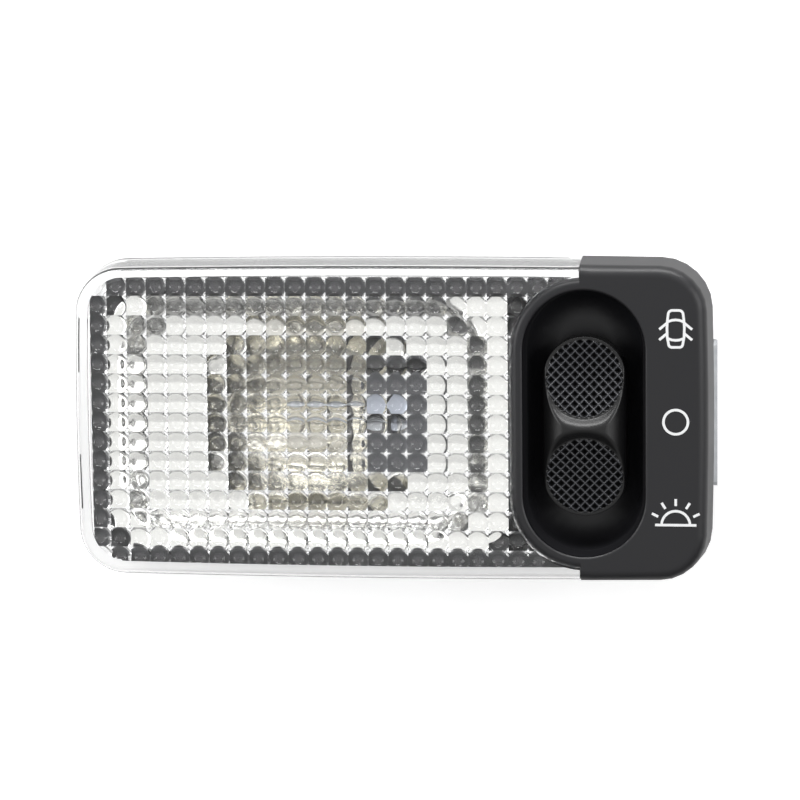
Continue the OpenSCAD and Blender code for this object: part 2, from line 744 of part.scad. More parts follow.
// Seesaw contact on its fulcrum, worked by the plunger
fulcrum_r = 0.3;
seesaw_gap = 0.15;
button_h = 0.5;
touch_gap = 0.25;
seesaw_tilt = 8;
rivet_shank_r = 0.5;
contact_drop = contact_arm * sin(seesaw_tilt);
pivot_z = strip_top_z + contact_drop + 2 * button_h + touch_gap - fulcrum_r - seesaw_gap;
seesaw_under_z = pivot_z + fulcrum_r + seesaw_gap;
seesaw_top_z = seesaw_under_z + seesaw_t;
seesaw_half = contact_arm + 1.3;

module rivet_holes() {
    for (s = [-1, 1])
        translate([well_x, rocker_y + s * contact_arm, 0]) cylinder(r = rivet_shank_r, h = face_z);
}

module fixed_rivets() {
    color("#d4d4d6") for (s = [-1, 1])
        translate([well_x, rocker_y + s * contact_arm, strip_z]) {
            cylinder(r = rivet_shank_r, h = strip_t);
            translate([0, 0, strip_t]) cylinder(r = rivet_r, h = button_h);
        }
}

module seesaw_contact() {
    color("#c8a24a") difference() {
        union() {
            block([well_x - seesaw_w / 2, rocker_y - seesaw_half, seesaw_under_z],
                  [well_x + seesaw_w / 2, rocker_y + seesaw_half, seesaw_top_z]);
            // Side wings that keep the seesaw on its fulcrum
            for (s = [-1, 1])
                translate([well_x + s * (seesaw_w / 2 + 0.25), rocker_y, seesaw_under_z + seesaw_t / 2])
                    cube([0.5, 4, seesaw_t + 1.4], center = true);
        }
        rivet_holes();
    }
}

module seesaw_rivets() {
    color("#d4d4d6") for (s = [-1, 1])
        translate([well_x, rocker_y + s * contact_arm, seesaw_under_z]) {
            cylinder(r = rivet_shank_r, h = seesaw_t);
            translate([0, 0, -button_h]) cylinder(r = rivet_r, h = button_h);
        }
}

// Rocker: oblong body with a ridge in the middle, a round dished pad on each side, and a stem with the axle
ridge_z = face_z + ridge_up;
rocker_rim = 0.25;
end_r = rocker_w / 2;
pad_r = end_r - rocker_rim;
pad_y = rocker_l / 2 - end_r;
pad_z = ridge_z - pad_drop;
pad_curve = (pad_r * pad_r + pad_dish * pad_dish) / (2 * pad_dish);
pad_wall_slope = 40;
rocker_under_z = ridge_z - pad_drop - 2.9;
flank_r = 14;
flank_z = ridge_z - 3;
stem_half_x = ear_in - 0.6;
stem_half_y = 9.5;
stem_z = axle_z - 1.8;
bore_top_z = axle_z + 4;
plunger_tube_z = axle_z - 2.8;

// Outline of the body, with round ends
module rocker_outline() {
    square([rocker_w, 2 * pad_y], center = true);
    for (s = [-1, 1])
        translate([0, s * pad_y]) circle(end_r);
}

// Places its children at the middle of each pad, with +Z out of the pad
module on_pads() {
    for (s = [0, 180])
        rotate(s) translate([0, pad_y, pad_z]) rotate([-pad_slope, 0, 0]) children();
}

// Space above a pad: a hollow of radius pad_curve with a wall that widens upwards
module pad_hollow() {
    intersection() {
        translate([0, 0, pad_curve]) sphere(pad_curve);
        translate([0, 0, -past]) cylinder(r = pad_r, h = pad_drop + 2 * past);
    }
    translate([0, 0, pad_dish])
        cylinder(r1 = pad_r, r2 = pad_r + 2 * pad_drop * tan(pad_wall_slope), h = 2 * pad_drop);
}

// Hollow beside the ridge on side s, down to a shelf
module flank_hollow(s) {
    intersection() {
        translate([s * saddle_w / 2, 0, ridge_z]) rotate([0, -s * flank_slope, 0])
            translate([s * flank_r, 0, -2 * pad_drop]) cylinder(r = flank_r, h = 4 * pad_drop);
        block([-rocker_l, -pad_y, flank_z], [rocker_l, pad_y, ridge_z + past]);
    }
}

// Field of crossed ridges with pits between them, laid at 45 degrees on a pad
module grip_field() {
    step = grip_pitch / 2;
    reach = pad_r - 0.3;
    n = 2 * ceil(reach / grip_pitch);
    w = 2 * n + 1;
    function at(i, j) = let (u = (i - n) * step, v = (j - n) * step) [(u - v) * cos(45), (u + v) * cos(45)];
    function inside(i, j) = i >= 0 && j >= 0 && i < 2 * n && j < 2 * n && norm(at(i + 0.5, j + 0.5)) < reach;
    function pit(i, j) = i % 2 == 1 && j % 2 == 1 ? 0 : grip_depth;
    tops = [for (j = [0:2 * n]) for (i = [0:2 * n])
        let (p = at(i, j), r = min(norm(p), pad_r))
        [p.x, p.y, pad_curve - sqrt(pad_curve * pad_curve - r * r) + pit(i, j) - grip_depth / 3]];
    feet = [for (p = tops) [p.x, p.y, p.z - 1.2]];
    m = w * w;
    polyhedron(points = concat(tops, feet), faces = [
        for (j = [0:2 * n - 1]) for (i = [0:2 * n - 1]) if (inside(i, j))
            let (a = j * w + i, b = a + 1, c = a + w + 1, d = a + w) each concat(
                (i + j) % 2 == 0 ? [[a, d, c], [a, c, b], [a + m, c + m, d + m], [a + m, b + m, c + m]]
                                 : [[a, d, b], [b, d, c], [a + m, b + m, d + m], [b + m, c + m, d + m]],
                inside(i, j - 1) ? [] : [[a, b, b + m], [a, b + m, a + m]],
                inside(i, j + 1) ? [] : [[c, d, d + m], [c, d + m, c + m]],
                inside(i - 1, j) ? [] : [[d, a, a + m], [d, a + m, d + m]],
                inside(i + 1, j) ? [] : [[b, c, c + m], [b, c + m, b + m]])]);
}

module rocker() {
    color("#18181b") translate([well_x, rocker_y, 0]) difference() {
        union() {
            difference() {
                translate([0, 0, rocker_under_z]) linear_extrude(ridge_z - rocker_under_z) rocker_outline();
                on_pads() pad_hollow();
                for (s = [-1, 1])
                    flank_hollow(s);
            }
            on_pads() grip_field();
            block([-stem_half_x, -stem_half_y, stem_z], [stem_half_x, stem_half_y, rocker_under_z + 0.5]);
            translate([0, 0, plunger_tube_z]) cylinder(r = plunger_r + 1.1, h = 3);
            translate([0, 0, axle_z]) rotate([0, 90, 0])
                cylinder(r = axle_r, h = 2 * (ear_in + ear_t - 0.2), center = true);
        }
        // Hollows on both sides of the plunger's tube
        for (s = [-1, 1])
            block([-stem_half_x + 1.1, s > 0 ? 3.4 : -stem_half_y + 1.1, stem_z - 1],
                  [stem_half_x - 1.1, s > 0 ? stem_half_y - 1.1 : -3.4, rocker_under_z]);
        translate([0, 0, plunger_tube_z - 1])
            cylinder(r = plunger_r + running_gap, h = bore_top_z - plunger_tube_z + 1);
    }
}

// Plunger with a round nose over the seesaw, pushed down by its spring
nose_r = 1.2;
nose_gap = 0.35;
nose_z = seesaw_top_z + nose_gap + nose_r;
plunger_top_z = axle_z + 1;

module plunger() {
    color("#e6e2d6") translate([well_x, rocker_y, 0]) {
        translate([0, 0, nose_z]) sphere(nose_r);
        translate([0, 0, nose_z]) cylinder(r = nose_r, h = plunger_tube_z + 0.4 - nose_z + weld);
        translate([0, 0, plunger_tube_z + 0.4]) cylinder(r = plunger_r, h = plunger_top_z - plunger_tube_z - 0.4);
    }
}

module plunger_spring() {
    wire = 0.17;
    color("#a8abae") translate([well_x, rocker_y, plunger_top_z + wire])
        helix(plunger_r - 0.35, wire, bore_top_z - plunger_top_z - 2 * wire, 5);
}

// Spring clip at the right end: a bent leaf with its foot in the body, under the headliner's frame
clip_foot_z = 4;
clip_top_z = trim_z - hook_gap;
clip_peak_z = clip_top_z - 3.1;
clip_end_x = body_l / 2 + clip_bulge;
clip_taper = 2.2;
clip_path = [[body_l / 2, 0.4], [body_l / 2, clip_foot_z - 0.8], [clip_end_x, clip_peak_z - 0.8],
             [clip_end_x, clip_peak_z + 0.8], [body_l / 2 + 1.4, clip_top_z]];

// Point k of a path moved to its left by t, mitred at the bends
function left_of(path, k, t) =
    let (n = len(path) - 1, p = path[k],
         u = k > 0 ? p - path[k - 1] : path[1] - p,
         v = k < n ? path[k + 1] - p : u,
         a = u / norm(u), b = v / norm(v))
    p + t * [-a.y - b.y, a.x + b.x] / (1 + a * b);

module retaining_clip() {
    n = len(clip_path) - 1;
    color("#c9cccf") intersection() {
        rotate([90, 0, 0]) linear_extrude(clip_w, center = true)
            polygon(concat(clip_path, [for (k = [n:-1:0]) left_of(clip_path, k, clip_t)]));
        // The leaf narrows from its bulge to its free end
        rotate([90, 0, 90]) linear_extrude(face_l)
            polygon([[-clip_w / 2, 0], [clip_w / 2, 0], [clip_w / 2, clip_peak_z], [clip_w / 2 - clip_taper, clip_top_z],
                     [clip_taper - clip_w / 2, clip_top_z], [-clip_w / 2, clip_peak_z]]);
    }
}

housing();
lens();
reflector();
bulb_glass();
bulb_filament();
bulb_lead_upper();
bulb_lead_lower();
bulb_holder();
holder_contact_upper();
holder_contact_lower();
contact_carrier();
live_strip();
common_strip();
earth_strip();
door_strip();
fixed_rivets();
seesaw_contact();
seesaw_rivets();
rocker();
plunger();
plunger_spring();
retaining_clip();
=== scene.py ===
# Car dome light: a snap-in courtesy lamp that lies on its back, with its face up and its switch to the right.
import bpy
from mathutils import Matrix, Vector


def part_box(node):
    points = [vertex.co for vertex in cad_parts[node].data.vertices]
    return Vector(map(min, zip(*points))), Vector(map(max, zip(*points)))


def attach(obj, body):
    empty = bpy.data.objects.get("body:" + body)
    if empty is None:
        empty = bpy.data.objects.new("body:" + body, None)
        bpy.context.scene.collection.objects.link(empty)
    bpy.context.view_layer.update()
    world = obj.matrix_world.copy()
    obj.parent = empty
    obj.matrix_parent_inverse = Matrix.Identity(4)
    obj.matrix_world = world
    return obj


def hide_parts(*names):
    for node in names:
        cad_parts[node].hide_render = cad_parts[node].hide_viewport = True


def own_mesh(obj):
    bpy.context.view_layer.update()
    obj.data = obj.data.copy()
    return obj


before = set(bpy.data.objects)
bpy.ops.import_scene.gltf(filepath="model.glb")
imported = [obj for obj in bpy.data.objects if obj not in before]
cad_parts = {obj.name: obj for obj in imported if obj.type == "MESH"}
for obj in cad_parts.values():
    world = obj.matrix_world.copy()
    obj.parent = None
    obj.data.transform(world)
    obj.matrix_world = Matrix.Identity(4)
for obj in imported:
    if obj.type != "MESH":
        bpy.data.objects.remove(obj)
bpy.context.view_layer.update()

import math
import bmesh
import bpy
import numpy as np
from mathutils import Matrix, Vector

# The housing is one black ABS moulding: tray, switch panel, bezel and well, with the mounting hooks on its left end.
# It was moulded against a lightly spark-eroded tool, so its faces are satin with a fine even grain.
MM = 0.001
FACE_Z = 24.0


def srgb(code):
    """Linear RGBA of a hex colour: each channel c is (c / 255 + 0.055) / 1.055 to the power 2.4 above the toe."""
    channels = np.array([int(code[i:i + 2], 16) for i in (1, 3, 5)]) / 255
    linear = np.where(channels > 0.04045, ((channels + 0.055) / 1.055) ** 2.4, channels / 12.92)
    return (*linear.tolist(), 1.0)


def add(tree, kind, sockets=None, **settings):
    """Adds one node: settings are its own properties, and sockets maps inputs to values or to outputs to link."""
    node = tree.nodes.new(kind)
    for name, value in settings.items():
        setattr(node, name, value)
    for name, value in (sockets or {}).items():
        if isinstance(value, bpy.types.NodeSocket):
            tree.links.new(value, node.inputs[name])
        else:
            node.inputs[name].default_value = value
    return node


def start_material(name):
    """An empty node material, its tree and its output node."""
    material = bpy.data.materials.new(name)
    material.use_nodes = True
    material.node_tree.nodes.clear()
    output = add(material.node_tree, "ShaderNodeOutputMaterial")
    return material, material.node_tree, output


def dress(node, material):
    """Gives a solid of the frame its material."""
    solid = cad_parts[node]
    solid.data.materials.clear()
    solid.data.materials.append(material)
    return solid


def make_object(name, points, faces, smooth=True):
    """A mesh object from points in millimetres, linked to the scene with its origin at the frame's."""
    mesh = bpy.data.meshes.new(name)
    mesh.from_pydata((np.asarray(points, float) * MM).tolist(), [], [list(map(int, f)) for f in faces])
    mesh.polygons.foreach_set("use_smooth", [smooth] * len(mesh.polygons))
    piece = bpy.data.objects.new(name, mesh)
    bpy.context.scene.collection.objects.link(piece)
    return piece


def frame_part(node, keep=None):
    """A copy of a frame solid, as far as keep(points in millimetres) says so for all three corners of a triangle."""
    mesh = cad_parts[node].data
    points = np.zeros(len(mesh.vertices) * 3)
    mesh.vertices.foreach_get("co", points)
    points = points.reshape(-1, 3) / MM
    corners = np.zeros(len(mesh.loops), int)
    mesh.loops.foreach_get("vertex_index", corners)
    triangles = corners.reshape(-1, 3)
    if keep is not None:
        triangles = triangles[keep(points)[triangles].all(1)]
    return make_object(node + "_part", points, triangles)


def merged(piece, gap=0.002):
    """Welds what lies closer than gap and turns all normals outwards."""
    mesh = bmesh.new()
    mesh.from_mesh(piece.data)
    bmesh.ops.remove_doubles(mesh, verts=mesh.verts, dist=gap * MM)
    bmesh.ops.dissolve_degenerate(mesh, dist=gap * MM, edges=mesh.edges)
    bmesh.ops.recalc_face_normals(mesh, faces=mesh.faces)
    mesh.to_mesh(piece.data)
    mesh.free()
    return piece


def soften(piece, angle):
    """Smooth shading up to an angle, with each normal set by the largest face at it so that flat faces stay flat."""
    piece.data.polygons.foreach_set("use_smooth", [True] * len(piece.data.polygons))
    piece.data.set_sharp_from_angle(angle=math.radians(angle))
    step = piece.modifiers.new("flat_faces", "WEIGHTED_NORMAL")
    step.keep_sharp = True
    return piece


# Moulded ABS: satin black, a grain of 0.12 mm and slow changes in gloss as on any large moulding
moulded_abs, tree, output = start_material("moulded_black_abs")
place = add(tree, "ShaderNodeTexCoord")
grain = add(tree, "ShaderNodeTexNoise", {"Vector": place.outputs["Object"], "Scale": 8000.0, "Detail": 2.0})
sheen_map = add(tree, "ShaderNodeTexNoise", {"Vector": place.outputs["Object"], "Scale": 120.0, "Detail": 3.0})
gloss = add(tree, "ShaderNodeMapRange", {"Value": sheen_map.outputs["Fac"], "To Min": 0.36, "To Max": 0.44})
bump = add(tree, "ShaderNodeBump", {"Height": grain.outputs["Fac"], "Strength": 0.25, "Distance": 0.00002})
abs_surface = add(tree, "ShaderNodeBsdfPrincipled", {
    "Base Color": srgb("#18181b"), "Roughness": gloss.outputs["Result"], "IOR": 1.5, "Normal": bump.outputs["Normal"]})
tree.links.new(abs_surface.outputs["BSDF"], output.inputs["Surface"])
housing = soften(merged(frame_part("housing")), angle=32)
housing.name = "housing_moulding"
housing.data.materials.append(moulded_abs)
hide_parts("housing")
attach(housing, "lamp")

# The three signs on the panel are pad printed in white ink, a film of about 0.03 mm with strokes 0.42 mm wide:
# a car with open doors for the door position, a ring for off and a half sun for on.
SIGN_X = 46.8
DOOR_Y, OFF_Y, ON_Y = 15.7, 0.5, -16.4
STROKE = 0.42
INK, INK_ROOT = 0.03, 0.01
CROSSING_OVER, CROSSING_UNDER = 0.002, 0.001
SHARPEST_TURN = 0.4
RING_R = 1.98
SUN_R, HORIZON_HALF = 2.3, 3.35
BEAM_R, BEAM_ANGLES = (3.15, 4.3), (26, 58, 90, 122, 154)


def ribbon(points, width, closed=False):
    """Flat stroke along a path: each point is moved to both sides along the mean of its two normals, by half the width
    over the cosine of half the turn, which is taken as SHARPEST_TURN at the least."""
    path = np.array(points, float)
    ahead = np.roll(path, -1, 0) - path
    behind = path - np.roll(path, 1, 0)
    if not closed:
        ahead[-1] = behind[-1]
        behind[0] = ahead[0]
    ahead /= np.linalg.norm(ahead, axis=1)[:, None]
    behind /= np.linalg.norm(behind, axis=1)[:, None]
    mean = ahead + behind
    mean /= np.linalg.norm(mean, axis=1)[:, None]
    normal = np.stack([-mean[:, 1], mean[:, 0]], 1)
    reach = width / 2 / np.clip(np.einsum("ij,ij->i", mean, ahead), SHARPEST_TURN, 1)
    return path + normal * reach[:, None], path - normal * reach[:, None]


def arc(centre, radius, start, end, count):
    """Points on a circle from one angle to another, in degrees."""
    angles = np.radians(np.linspace(start, end, count))
    return np.stack([centre[0] + radius * np.cos(angles), centre[1] + radius * np.sin(angles)], 1)


def stroke_solids(strokes):
    """Each stroke as a closed film: its two sides a little inside the panel, and the same two raised by the ink. Each
    stroke is a trace thicker than the one before it, so that no two faces coincide where strokes cross."""
    points, faces = [], []
    for order, (path, closed) in enumerate(strokes):
        left, right = ribbon(path, STROKE, closed)
        n = len(left)
        base = len(points)
        for z in (FACE_Z - INK_ROOT - CROSSING_UNDER * order, FACE_Z + INK + CROSSING_OVER * order):
            for side in (left, right):
                points.extend(np.column_stack([side, np.full(n, z)]).tolist())
        for k in range(n if closed else n - 1):
            j = (k + 1) % n
            low_l, low_r, top_l, top_r = (base + m * n for m in range(4))
            faces += [[top_l + k, top_r + k, top_r + j, top_l + j], [low_l + j, low_r + j, low_r + k, low_l + k],
                      [top_l + j, low_l + j, low_l + k, top_l + k], [top_r + k, low_r + k, low_r + j, top_r + j]]
        if not closed:
            low_l, low_r, top_l, top_r = (base + m * n for m in range(4))
            faces += [[low_l, low_r, top_r, top_l], [top_l + n - 1, top_r + n - 1, low_r + n - 1, low_l + n - 1]]
    return points, faces


def mirrored(path):
    """A path and its mirror image in the upright middle line of the signs."""
    path = np.array(path, float)
    return [path, path[::-1] * [-1, 1] + [2 * SIGN_X, 0]]


def around(points, place):
    """Points given from a place on the panel."""
    return np.array(points, float) + place


# Car from above: half outline from the nose down the right side to the tail, then the two screens and the open doors
nose = arc((0.55, 2.35), 0.65, 90, 0, 8)
tail = arc((0.6, -2.45), 0.55, 0, -90, 8)
half_car = np.concatenate([[(0, 3.0)], nose, [(1.32, 1.4), (1.4, 0.2), (1.36, -1.3)], tail, [(0, -3.0)]])
car = np.concatenate([half_car, half_car[-2:0:-1] * [-1, 1]])
car_sign = [(around(car, (SIGN_X, DOOR_Y)), True),
            (around([(-1.3, 1.15), (-0.6, 1.4), (0, 1.47), (0.6, 1.4), (1.3, 1.15)], (SIGN_X, DOOR_Y)), False),
            (around([(-1.3, -1.55), (-0.6, -1.8), (0, -1.86), (0.6, -1.8), (1.3, -1.55)], (SIGN_X, DOOR_Y)), False)]
for inner_y in (0.95, -0.75):
    for door in mirrored(around([(1.4, inner_y), (2.65, inner_y - 1.05)], (SIGN_X, DOOR_Y))):
        car_sign.append((door, False))
off_sign = [(arc((SIGN_X, OFF_Y), RING_R, 0, 352, 45), True)]
on_sign = [(around([(-HORIZON_HALF, 0), (HORIZON_HALF, 0)], (SIGN_X, ON_Y)), False),
           (arc((SIGN_X, ON_Y), SUN_R, 0, 180, 25), False)]
for angle in BEAM_ANGLES:
    beam = [(r * math.cos(math.radians(angle)), r * math.sin(math.radians(angle))) for r in BEAM_R]
    on_sign.append((around(beam, (SIGN_X, ON_Y)), False))
signs = make_object("panel_signs", *stroke_solids(car_sign + off_sign + on_sign), smooth=False)

# Pad-printing ink: opaque white, slightly glossy, with a faint unevenness of the film
ink, tree, output = start_material("white_pad_print_ink")
place = add(tree, "ShaderNodeTexCoord")
film = add(tree, "ShaderNodeTexNoise", {"Vector": place.outputs["Object"], "Scale": 3000.0})
shade = add(tree, "ShaderNodeMix", {0: film.outputs["Fac"], 6: srgb("#e4e5e6"), 7: srgb("#f4f5f5")}, data_type="RGBA")
ink_surface = add(tree, "ShaderNodeBsdfPrincipled", {"Base Color": shade.outputs[2], "Roughness": 0.4})
tree.links.new(ink_surface.outputs["BSDF"], output.inputs["Surface"])
signs.data.materials.append(ink)
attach(signs, "lamp")

# The contact carrier closes the back of the switch and holds the plug's shroud; the bulb holder is the block that
# grips the bulb's wedge. Both are moulded in glass-filled nylon, duller than the housing, with a faint flow pattern.
filled_nylon, tree, output = start_material("glass_filled_nylon")
place = add(tree, "ShaderNodeTexCoord")
fibres = add(tree, "ShaderNodeMapping", {"Vector": place.outputs["Object"], "Scale": (900.0, 2600.0, 2600.0)})
flow = add(tree, "ShaderNodeTexNoise", {"Vector": fibres.outputs["Vector"], "Scale": 1.0, "Detail": 2.0})
tone = add(tree, "ShaderNodeMix", {0: flow.outputs["Fac"], 6: srgb("#26272a"), 7: srgb("#333438")}, data_type="RGBA")
bump = add(tree, "ShaderNodeBump", {"Height": flow.outputs["Fac"], "Strength": 0.2, "Distance": 0.00002})
nylon_surface = add(tree, "ShaderNodeBsdfPrincipled", {
    "Base Color": tone.outputs[2], "Roughness": 0.5, "IOR": 1.53, "Normal": bump.outputs["Normal"]})
tree.links.new(nylon_surface.outputs["BSDF"], output.inputs["Surface"])
for node in ("contact_carrier", "bulb_holder"):
    dress(node, filled_nylon)

# The strips, blades and seesaw are stamped from brass strip 0.8 mm thick and left bright. The rolling direction shows
# as a faint streak, and the tone is a little darker where the surface has tarnished.
brass, tree, output = start_material("rolled_brass_strip")
place = add(tree, "ShaderNodeTexCoord")
streak = add(tree, "ShaderNodeMapping", {"Vector": place.outputs["Object"], "Scale": (400.0, 6000.0, 6000.0)})
rolling = add(tree, "ShaderNodeTexNoise", {"Vector": streak.outputs["Vector"], "Scale": 1.0, "Detail": 2.0})
tone = add(tree, "ShaderNodeMix", {0: rolling.outputs["Fac"], 6: srgb("#c7a24e"), 7: srgb("#d9bb6c")}, data_type="RGBA")
rough = add(tree, "ShaderNodeMapRange", {"Value": rolling.outputs["Fac"], "To Min": 0.22, "To Max": 0.34})
brass_surface = add(tree, "ShaderNodeBsdfPrincipled", {
    "Base Color": tone.outputs[2], "Metallic": 1.0, "Roughness": rough.outputs["Result"]})
tree.links.new(brass_surface.outputs["BSDF"], output.inputs["Surface"])
for node in ("live_strip", "common_strip", "earth_strip", "door_strip", "seesaw_contact"):
    dress(node, brass)

# The contact rivets are fine silver, cold headed in the strips, and their polished heads have a fine pitting.
silver, tree, output = start_material("headed_contact_silver")
place = add(tree, "ShaderNodeTexCoord")
pits = add(tree, "ShaderNodeTexNoise", {"Vector": place.outputs["Object"], "Scale": 9000.0})
bump = add(tree, "ShaderNodeBump", {"Height": pits.outputs["Fac"], "Strength": 0.1, "Distance": 0.00001})
silver_surface = add(tree, "ShaderNodeBsdfPrincipled", {
    "Base Color": srgb("#e6e4df"), "Metallic": 1.0, "Roughness": 0.2, "Normal": bump.outputs["Normal"]})
tree.links.new(silver_surface.outputs["BSDF"], output.inputs["Surface"])
for node in ("fixed_rivets", "seesaw_rivets"):
    dress(node, silver)

# The plunger that presses the seesaw is turned from natural nylon: off-white, slightly translucent and waxy.
natural_nylon, tree, output = start_material("natural_nylon")
place = add(tree, "ShaderNodeTexCoord")
cloud = add(tree, "ShaderNodeTexNoise", {"Vector": place.outputs["Object"], "Scale": 700.0})
tone = add(tree, "ShaderNodeMix", {0: cloud.outputs["Fac"], 6: srgb("#e2ddcf"), 7: srgb("#ece8dc")}, data_type="RGBA")
waxy = add(tree, "ShaderNodeBsdfPrincipled", {"Base Color": tone.outputs[2], "Roughness": 0.35, "IOR": 1.53})
tree.links.new(waxy.outputs["BSDF"], output.inputs["Surface"])
dress("plunger", natural_nylon)

# The plunger's spring, the bulb's leads and the contact springs over the bulb's base are drawn or rolled steel, tinned
# against rust, with fine marks and a blue-grey cast. The plunger's spring gets a mesh of its own.
tinned_steel, tree, output = start_material("tinned_spring_steel")
place = add(tree, "ShaderNodeTexCoord")
drawn = add(tree, "ShaderNodeTexNoise", {"Vector": place.outputs["Object"], "Scale": 5000.0, "Detail": 2.0})
tone = add(tree, "ShaderNodeMix", {0: drawn.outputs["Fac"], 6: srgb("#9ba1ad"), 7: srgb("#b9bec8")}, data_type="RGBA")
tin_surface = add(tree, "ShaderNodeBsdfPrincipled", {"Base Color": tone.outputs[2], "Metallic": 1.0, "Roughness": 0.3})
tree.links.new(tin_surface.outputs["BSDF"], output.inputs["Surface"])
for node in ("plunger_spring", "bulb_lead_upper", "bulb_lead_lower", "holder_contact_upper", "holder_contact_lower"):
    dress(node, tinned_steel)
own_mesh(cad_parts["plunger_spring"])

# The rocker is a black ABS moulding: an oblong body with a ridge in the middle and a round dished pad on each side,
# both cut with crossed ridges at 45 degrees. Its top is made here as one fine surface; stem and axle are the frame's.
ROCKER_X, ROCKER_Y = 31.9, -0.8
END_R = 6.8
PAD_R = 6.55
PAD_Y = 8.0
RIDGE_Z = FACE_Z + 0.3
PAD_DEPTH = 3.2
PAD_Z = RIDGE_Z - PAD_DEPTH
PAD_SLOPE = math.tan(math.radians(11))
PAD_DISH = 0.8
WALL_SLOPE = math.tan(math.radians(50))
SADDLE = 2.8
FLANK_R = 2.6
CREASE_BLEND = 0.6
CAP_DEPTH = 2.9
CAP_FOOT_Z = PAD_Z - CAP_DEPTH
EDGE_R = 0.4
GRIP_PITCH = 1.1
GRIP_DEPTH, GRIP_SINK = 0.85, 0.6
GRIP_RIM = 0.25
RIDGE_TOP = 0.1
WEAR_AND_SHEEN_POWER = 6
CAP_ROWS, CAP_COLUMNS = 401, 195
EVEN_SHARE, SINE_SHARE = 0.9, 0.1
pad_curve = (PAD_R ** 2 + PAD_DISH ** 2) / (2 * PAD_DISH)


def half_width(y):
    """Half width of the oblong outline: straight between the middles of the pads, then a round end."""
    beyond = np.clip(np.abs(y) - PAD_Y, 0, END_R)
    return np.sqrt(END_R ** 2 - beyond ** 2)


def edge_distance(x, y):
    """Distance inwards from the oblong outline."""
    return np.clip(END_R - np.hypot(x, np.clip(np.abs(y) - PAD_Y, 0, None)), 0, None)


def softest(a, b, blend):
    """Smaller of two heights, with a blend of that width where they cross: a parabola in place of the crease."""
    share = np.clip(0.5 + 0.5 * (b - a) / blend, 0, 1)
    return b + (a - b) * share - blend * share * (1 - share)


def crossed_ridges(x, y):
    """1 on the ridges and 0 in the pits: along each diagonal a triangle wave whose top is cut flat over RIDGE_TOP, and
    of the two waves the higher one, so that the pits are upturned pyramids."""
    half = GRIP_PITCH / 2
    lines = [np.abs(((x + s * y) / math.sqrt(2) / GRIP_PITCH + 0.5) % 1 - 0.5) * GRIP_PITCH for s in (-1, 1)]
    return np.clip(1 - (np.minimum(*lines) - RIDGE_TOP / 2) / (half - RIDGE_TOP / 2), 0, 1)


def on_grip(x, y):
    """1 on the round field of crossed ridges, falling evenly to 0 over GRIP_RIM at the rim of the pad."""
    return np.clip((PAD_R - GRIP_RIM - np.hypot(x, np.abs(y) - PAD_Y)) / GRIP_RIM, 0, 1)


def rocker_top(x, y):
    """Height of the top: the ridge, which falls to both sides by a parabola past SADDLE, cut by a hollow pad with a
    widening wall on each side, with a quarter round of EDGE_R along the outline and the crossed ridges on the pads."""
    a = np.abs(y)
    r = np.hypot(x, a - PAD_Y)
    dish = pad_curve - np.sqrt(pad_curve ** 2 - np.minimum(r, PAD_R) ** 2)
    pad = PAD_Z - PAD_SLOPE * (a - PAD_Y) + dish + np.clip(r - PAD_R, 0, None) / WALL_SLOPE
    ridge = RIDGE_Z - np.clip(np.abs(x) - SADDLE, 0, None) ** 2 / (2 * FLANK_R)
    z = softest(ridge, pad, CREASE_BLEND)
    d = edge_distance(x, y)
    z = z - EDGE_R + np.sqrt(np.clip(EDGE_R ** 2 - np.clip(EDGE_R - d, 0, None) ** 2, 0, None))
    return z + on_grip(x, y) * (GRIP_DEPTH * crossed_ridges(x, y) - GRIP_SINK)


def closer_at_ends(count):
    """Steps from -1 to 1, closer at the ends: EVEN_SHARE of an even spacing plus SINE_SHARE of a quarter sine."""
    t = np.linspace(-1, 1, count)
    return EVEN_SHARE * t + SINE_SHARE * np.sin(t * math.pi / 2)


def rocker_cap():
    """Closed cap: rows across the outline from end to end, each row going over the top and back underneath. Also a mask
    of the ridge tops, for finger polish and a painted sheen: a high power of the ridges' own shape, so that only their
    tops count."""
    half_l = PAD_Y + END_R
    y = half_l * closer_at_ends(CAP_ROWS)
    u = closer_at_ends(CAP_COLUMNS)
    w = half_width(y)
    x_top = w[:, None] * u[None, :]
    y_top = np.repeat(y[:, None], u.size, 1)
    top = np.stack([x_top, y_top, rocker_top(x_top, y_top)], 2)
    under = top[:, [-1, 0]].copy()
    under[:, :, 2] = CAP_FOOT_Z
    loop = np.concatenate([top, under], 1)
    loop[:, :, 0] += ROCKER_X
    loop[:, :, 1] += ROCKER_Y
    rows, columns = loop.shape[:2]
    index = np.arange(rows * columns).reshape(rows, columns)
    following = np.roll(index, -1, 1)
    faces = np.stack([index[:-1], following[:-1], following[1:], index[1:]], 2).reshape(-1, 4)
    ridge_wear_and_sheen = np.zeros(loop.shape[:2])
    ridge_wear_and_sheen[:, :-2] = on_grip(x_top, y_top) * crossed_ridges(x_top, y_top) ** WEAR_AND_SHEEN_POWER
    return loop.reshape(-1, 3), faces, ridge_wear_and_sheen.ravel()


cap_points, cap_faces, cap_wear_and_sheen = rocker_cap()
rocker_top_piece = make_object("rocker_top", cap_points, cap_faces)
rocker_top_piece.data.attributes.new("ridge_wear_and_sheen", "FLOAT", "POINT").data.foreach_set("value", cap_wear_and_sheen)
merged(rocker_top_piece)


def join(name, pieces):
    """One object from several whose material slots are the same."""
    with bpy.context.temp_override(active_object=pieces[0], selected_editable_objects=pieces, selected_objects=pieces):
        bpy.ops.object.join()
    pieces[0].name = name
    return pieces[0]


stem = frame_part("rocker", lambda p: p[:, 2] < CAP_FOOT_Z + 0.001)
rocker_piece = join("rocker_moulding", [rocker_top_piece, stem])
rocker_piece.data.set_sharp_from_angle(angle=math.radians(50))
